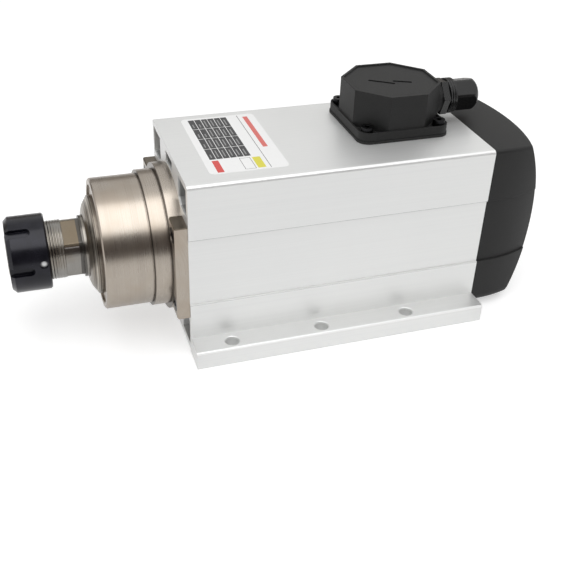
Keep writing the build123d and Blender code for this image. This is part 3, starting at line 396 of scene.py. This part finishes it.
finishes = {
    "anodised_aluminium": anodised_aluminium(),
    "nickel_steel": turned_steel("nickel_steel", ((0.33, 0.29, 0.25), (0.48, 0.435, 0.38),
                                                  (0.37, 0.31, 0.25)), 0.25, 4200.0, housing_tint),
    "ground_steel": turned_steel("ground_steel", ((0.42, 0.41, 0.39), (0.60, 0.595, 0.58),
                                                  (0.50, 0.45, 0.39)), 0.2, 5200.0),
    "shaft": turned_steel("shaft_steel", ((0.20, 0.19, 0.175), (0.36, 0.35, 0.33),
                                          (0.23, 0.20, 0.16)), 0.2, 5200.0, shaft_tint),
    "black_oxide": black_oxide(),
    "bearing_steel": ground_metal("bearing_steel", (0.74, 0.75, 0.77), 0.14),
    "cage_resin": speckled("cage_resin", (0.26, 0.13, 0.05), (0.48, 0.27, 0.12), 0.5, 0.0006, 0.2),
    "cast_aluminium": speckled("cast_aluminium", (0.42, 0.42, 0.42), (0.6, 0.6, 0.59), 0.5, 0.001,
                               0.3, 0.9),
    "lamination": stacked_sheet(),
    "copper_winding": winding_copper(),
    "black_plastic": moulded_plastic("black_plastic", 0.015, 0.5, 0.00055, 0.45, 0.0006, 0.3),
    "black_nylon": moulded_plastic("black_nylon", 0.007, 0.24, 0.0012, 0.1, 0.0004, 0.5),
    "gland_cap": moulded_plastic("gland_cap", 0.007, 0.22, 0.0012, 0.1, 0.0005, 0.5, GLAND_RIBS),
    "black_rubber": speckled("black_rubber", (0.006, 0.006, 0.006), (0.012, 0.012, 0.012), 0.75,
                             0.0008, 0.3),
    "screw_steel": ground_metal("screw_steel", (0.03, 0.03, 0.032), 0.34),
    "lid_groove_shade": painted_groove_shade(),
    "insulator": speckled("insulator", (0.08, 0.06, 0.05), (0.14, 0.11, 0.09), 0.5, 0.0007, 0.2),
    "brass_stud": ground_metal("brass_stud", (0.72, 0.52, 0.24), 0.24),
    "lead_sleeve": speckled("lead_sleeve", (0.4, 0.03, 0.025), (0.52, 0.06, 0.045), 0.45, 0.0008,
                            0.15),
}
slot_of = {s["node"]: s["material_slot"] for s in frame["record"]["subparts"]}
own_finish = {"spindle_shaft": "shaft", "gland_nut": "gland_cap"}
for name, piece in nodes.items():
    piece.data.materials.clear()
    piece.data.materials.append(finishes[own_finish.get(name, slot_of[name])])


# ---------------------------------------------------------------- computed surfaces
def quads(rows, columns, closed_columns):
    """Faces of a grid of points, row by row, that may close on itself across its columns."""
    wide = columns if closed_columns else columns - 1
    row, column = np.meshgrid(np.arange(rows - 1), np.arange(wide), indexing="ij")
    here = row * columns + column
    beside = row * columns + (column + 1) % columns
    return np.stack([here, beside, beside + columns, here + columns], axis=-1).reshape(-1, 4)


def new_piece(name, points, faces, material, smooth=True):
    """A mesh object of these points and faces, which run anticlockwise seen from outside."""
    mesh = bpy.data.meshes.new(name)
    mesh.from_pydata(points.reshape(-1, 3).tolist(), [], [list(face) for face in faces])
    mesh.polygons.foreach_set("use_smooth", np.full(len(mesh.polygons), smooth))
    mesh.update()
    piece = bpy.data.objects.new(name, mesh)
    bpy.context.scene.collection.objects.link(piece)
    mesh.materials.append(material)
    return piece


def nose_thread():
    """The shaft's thread: radius = root + depth * (0.5 + 0.5 cos(2 pi (x / pitch - turn)))^0.7."""
    start, end, pitch = THREAD
    root, depth, inner_gap = 16.03, 0.3, 0.3
    x = np.arange(start, end, pitch / STEPS_PER_PITCH)
    turn = np.arange(THREAD_SIDES) / THREAD_SIDES
    along, about = np.meshgrid(x, turn, indexing="ij")
    wave = 0.5 + 0.5 * np.cos(2 * np.pi * (along / pitch - about))
    radius = root + depth * wave ** 0.7
    radius[0] = radius[-1] = root - inner_gap
    points = np.stack([along, radius * np.cos(2 * np.pi * about),
                       radius * np.sin(2 * np.pi * about)], axis=-1) * MM
    points[..., 2] += AXIS_Z
    faces = quads(len(x), THREAD_SIDES, True)
    first, last = np.arange(THREAD_SIDES), (len(x) - 1) * THREAD_SIDES
    beside = (first + 1) % THREAD_SIDES
    bore = np.stack([last + first, last + beside, beside, first], axis=-1)
    piece = new_piece("nose_thread", points, np.concatenate([faces, bore]), finishes["shaft"])
    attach(piece, "rotor")


def ring_of_corners(x0, x1, y0, y1, radius):
    """A rounded rectangle as points: quarter circles about the four inner corners, in turn."""
    points_per_corner = 9
    turn = np.radians(np.linspace(0, 90, points_per_corner))
    middles = [(x1 - radius, y1 - radius, 0), (x0 + radius, y1 - radius, 90),
               (x0 + radius, y0 + radius, 180), (x1 - radius, y0 + radius, 270)]
    return np.concatenate([np.stack([cx + radius * np.cos(turn + np.radians(start)),
                                     cy + radius * np.sin(turn + np.radians(start))], axis=-1)
                           for cx, cy, start in middles])


def sticker(name, bounds, radius, low, high, material):
    """A thin plate: its rounded outline at two heights, drawn in a little at the top edge."""
    x0, x1, y0, y1 = bounds
    outline = ring_of_corners(x0, x1, y0, y1, radius)
    middle = np.array(((x0 + x1) / 2, (y0 + y1) / 2))
    edge, drawn_in = 0.03, 0.998
    rings = [(1.0, low), (1.0, high - edge), (drawn_in, high)]
    points = np.stack([np.column_stack([middle + (outline - middle) * share,
                                        np.full(len(outline), height)])
                       for share, height in rings]) * MM
    faces = quads(len(rings), len(outline), True).tolist()
    below, above = np.arange(len(outline))[::-1], np.arange(len(outline)) + 2 * len(outline)
    return new_piece(name, points, faces + [below.tolist(), above.tolist()], material, False)


def inside(look, x0, x1, y0, y1):
    """1 inside a rectangle of the label, in millimetres of the part's own x and y."""
    return look.band(look.x / MM, x0, x1) * look.band(look.y / MM, y0, y1)


def label_print():
    """A plain printed label: a dark table with pale rules and dashes, and coloured blocks."""
    look = Look("label_print")
    rule_x, rule_y = 0.34, 0.38
    dash_sides, dash_start, shortest, longer = (1.55, 2.25), 2.6, 4.0, 5.0
    x, y = look.x / MM - TABLE[0], look.y / MM - TABLE[2]
    strip = look.math("FLOORED_MODULO", x, TABLE_STRIP)
    cell = look.math("FLOORED_MODULO", y, TABLE_CELL)
    ink = inside(look, *TABLE) * (strip > rule_x) * (cell > rule_y)
    number = (look.math("FLOOR", x / TABLE_STRIP) * 3.1
              + look.math("FLOOR", y / TABLE_CELL) * 1.7)
    dash_end = dash_start + shortest + longer * look.math("FRACT", number * 0.618)
    dash = look.band(strip, *dash_sides) * look.band(cell, dash_start, dash_end)
    paper = look.mix(look.noise(look.place, 300.0), rgba(0.93, 0.93, 0.925),
                     rgba(0.97, 0.97, 0.965))
    colour = look.mix(ink, paper, rgba(0.035, 0.035, 0.037))
    colour = look.mix(ink * dash * 0.4, colour, grey(0.7))
    rule, heading = (-26.5, -26.1, -33.0, 37.0), (-23.4, -20.6, -8.0, 34.5)
    red_block, yellow_block = (-55.2, -51.6, -32.8, -18.7), (-33.2, -28.8, -32.2, -19.2)
    colour = look.mix(inside(look, *rule), colour, grey(0.25))
    colour = look.mix(inside(look, *heading), colour, rgba(0.75, 0.16, 0.14))
    colour = look.mix(inside(look, *red_block), colour, rgba(0.72, 0.07, 0.06))
    colour = look.mix(inside(look, *yellow_block), colour, rgba(0.78, 0.72, 0.06))
    box_outside, box_inside = (-40.2, -34.2, -32.4, -19.0), (-39.9, -34.5, -32.1, -19.3)
    box_line = inside(look, *box_outside) - inside(look, *box_inside)
    colour = look.mix(box_line, colour, grey(0.2))
    return look.set(base_color=colour, roughness=0.32 + 0.1 * look.noise(look.place, 900.0))


def swept_bar(name, path, width, low, high, material):
    """A rib of trapezoid section carried along a path; each corner is mitred between its runs."""
    path = np.array(path, float)
    run = np.diff(path, axis=0)
    run /= np.linalg.norm(run, axis=1)[:, None]
    side = np.stack([-run[:, 1], run[:, 0]], axis=-1)
    mitre = side[:-1] + side[1:]
    mitre /= (1 + (side[:-1] * side[1:]).sum(1))[:, None]
    longest, foot, crest = 1.6, 0.5, 0.34
    offset = np.concatenate([side[:1], np.clip(mitre, -longest, longest), side[-1:]])
    section = [(foot, low), (crest, high), (-crest, high), (-foot, low)]
    points = np.stack([np.column_stack([path + offset * width * share, np.full(len(path), height)])
                       for share, height in section], axis=1) * MM
    faces = quads(len(path), 4, True)
    ends = np.array([[3, 2, 1, 0], [len(path) * 4 - 4 + k for k in range(4)]])
    return new_piece(name, points, np.concatenate([faces, ends]), material, False)


nose_thread()
label = sticker("label", LABEL, LABEL_CORNER, LABEL_LOW, LABEL_HIGH, label_print())
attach(label, "motor_body")
# painted groove shade: dark raised strokes stand where the lid has shaded grooves
for name, stroke in LID_STROKES.items():
    mark = swept_bar(f"lid_groove_shade_{name}", stroke, STROKE_WIDTH, LID_LOW, LID_HIGH,
                     finishes["lid_groove_shade"])
    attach(mark, "motor_body")


# ---------------------------------------------------------------- floor, light and camera
def white_floor():
    """A pale level floor that keeps shadows and shows white to the eye."""
    look = Look("white_floor", roughness=0.6, base_color=grey(0.72), emission_strength=0.52)
    look.set(emission_color=look.mix(look.seen(0.8), grey(0), grey(1)))
    reach, height = 6.0, -0.0002
    points = np.array([(-1, -1, 0), (1, -1, 0), (1, 1, 0), (-1, 1, 0)]) * reach + (0, 0, height)
    new_piece("floor", points, [(0, 1, 2, 3)], look.material, False)


def light_world():
    """A white room to the eye and in reflections, and a softer one as light."""
    world = bpy.data.worlds.new("studio")
    world.use_nodes = True
    room, softer = Nodes(world.node_tree), 0.5
    sky = room.tree.nodes["Background"]
    room.feed(sky.inputs["Strength"], softer + (1.0 - softer) * room.seen())
    room.feed(sky.inputs["Color"], grey(1.0))
    bpy.context.scene.world = world


def softbox(name, place, target, size, power):
    """A square area lamp that looks at a target."""
    lamp = bpy.data.lights.new(name, "AREA")
    lamp.shape, lamp.size, lamp.energy = "SQUARE", size, power
    holder = bpy.data.objects.new(name, lamp)
    bpy.context.scene.collection.objects.link(holder)
    back = np.array(place, float) - np.array(target, float)
    back /= np.linalg.norm(back)
    side = np.cross((0.0, 0.0, 1.0), back)
    side /= np.linalg.norm(side)
    up = np.cross(back, side)
    frame_of = np.eye(4)
    frame_of[:3, :4] = np.stack([side, up, back, np.array(place, float)], axis=1)
    holder.matrix_world = Matrix(frame_of.tolist())


def set_camera():
    """The camera: azimuth -19.04, elevation 33.45 and roll 2.11 degrees about its target."""
    azimuth, elevation, roll = np.radians((-19.04, 33.45, 2.11))
    target, distance = np.array((-7.16, -0.17, 9.15)) * MM, 544.75 * MM
    right = np.array((np.cos(azimuth), np.sin(azimuth), 0.0))
    back = np.array((np.sin(azimuth) * np.cos(elevation), -np.cos(azimuth) * np.cos(elevation),
                     np.sin(elevation)))
    up = np.cross(back, right)
    side = np.cos(roll) * right + np.sin(roll) * up
    head = np.cos(roll) * up - np.sin(roll) * right
    place = target + distance * back
    view = np.eye(4)
    view[:3, :4] = np.stack([side, head, back, place], axis=1)
    lens = bpy.data.cameras.new("camera")
    focal_pixels, picture_pixels, sensor = 877.59, 563, 36.0
    lens.sensor_fit, lens.sensor_width = "HORIZONTAL", sensor
    lens.lens = focal_pixels / picture_pixels * sensor
    lens.clip_start, lens.clip_end = 0.01, 30.0
    camera = bpy.data.objects.new("camera", lens)
    bpy.context.scene.collection.objects.link(camera)
    camera.matrix_world = Matrix(view.tolist())
    bpy.context.scene.camera = camera


def studio_card(name, side, low, high, tone):
    """A card seen in reflections only: (x, side * D cos t, D sin t), with t from low to high."""
    distance, half_length, rows = 1.7, 2.0, 13
    across, turn = np.meshgrid(np.linspace(-half_length, half_length, 3),
                               np.radians(np.linspace(low, high, rows)))
    points = np.stack([across, side * distance * np.cos(turn), distance * np.sin(turn)], axis=-1)
    look = Look(name, roughness=1.0, base_color=grey(0.0), specular_ior_level=0.0,
                emission_color=rgba(*tone), emission_strength=1.0)
    card = new_piece(name, points, quads(rows, 3, False), look.material)
    for rays in ("camera", "diffuse", "transmission", "shadow", "volume_scatter"):
        setattr(card, "visible_" + rays, False)


white_floor()
light_world()
softbox("overhead", (-0.1, -0.44, 1.27), (0.0, 0.0, 0.05), 1.3, 9.6)
studio_card("front_card", -1, 1.0, 43.0, (0.09, 0.075, 0.07))
studio_card("back_card", 1, 22.0, 60.0, (0.86, 0.86, 0.855))
studio_card("low_back_card", 1, 1.0, 21.5, (0.26, 0.235, 0.21))
set_camera()
bpy.context.scene.view_settings.view_transform = "Standard"
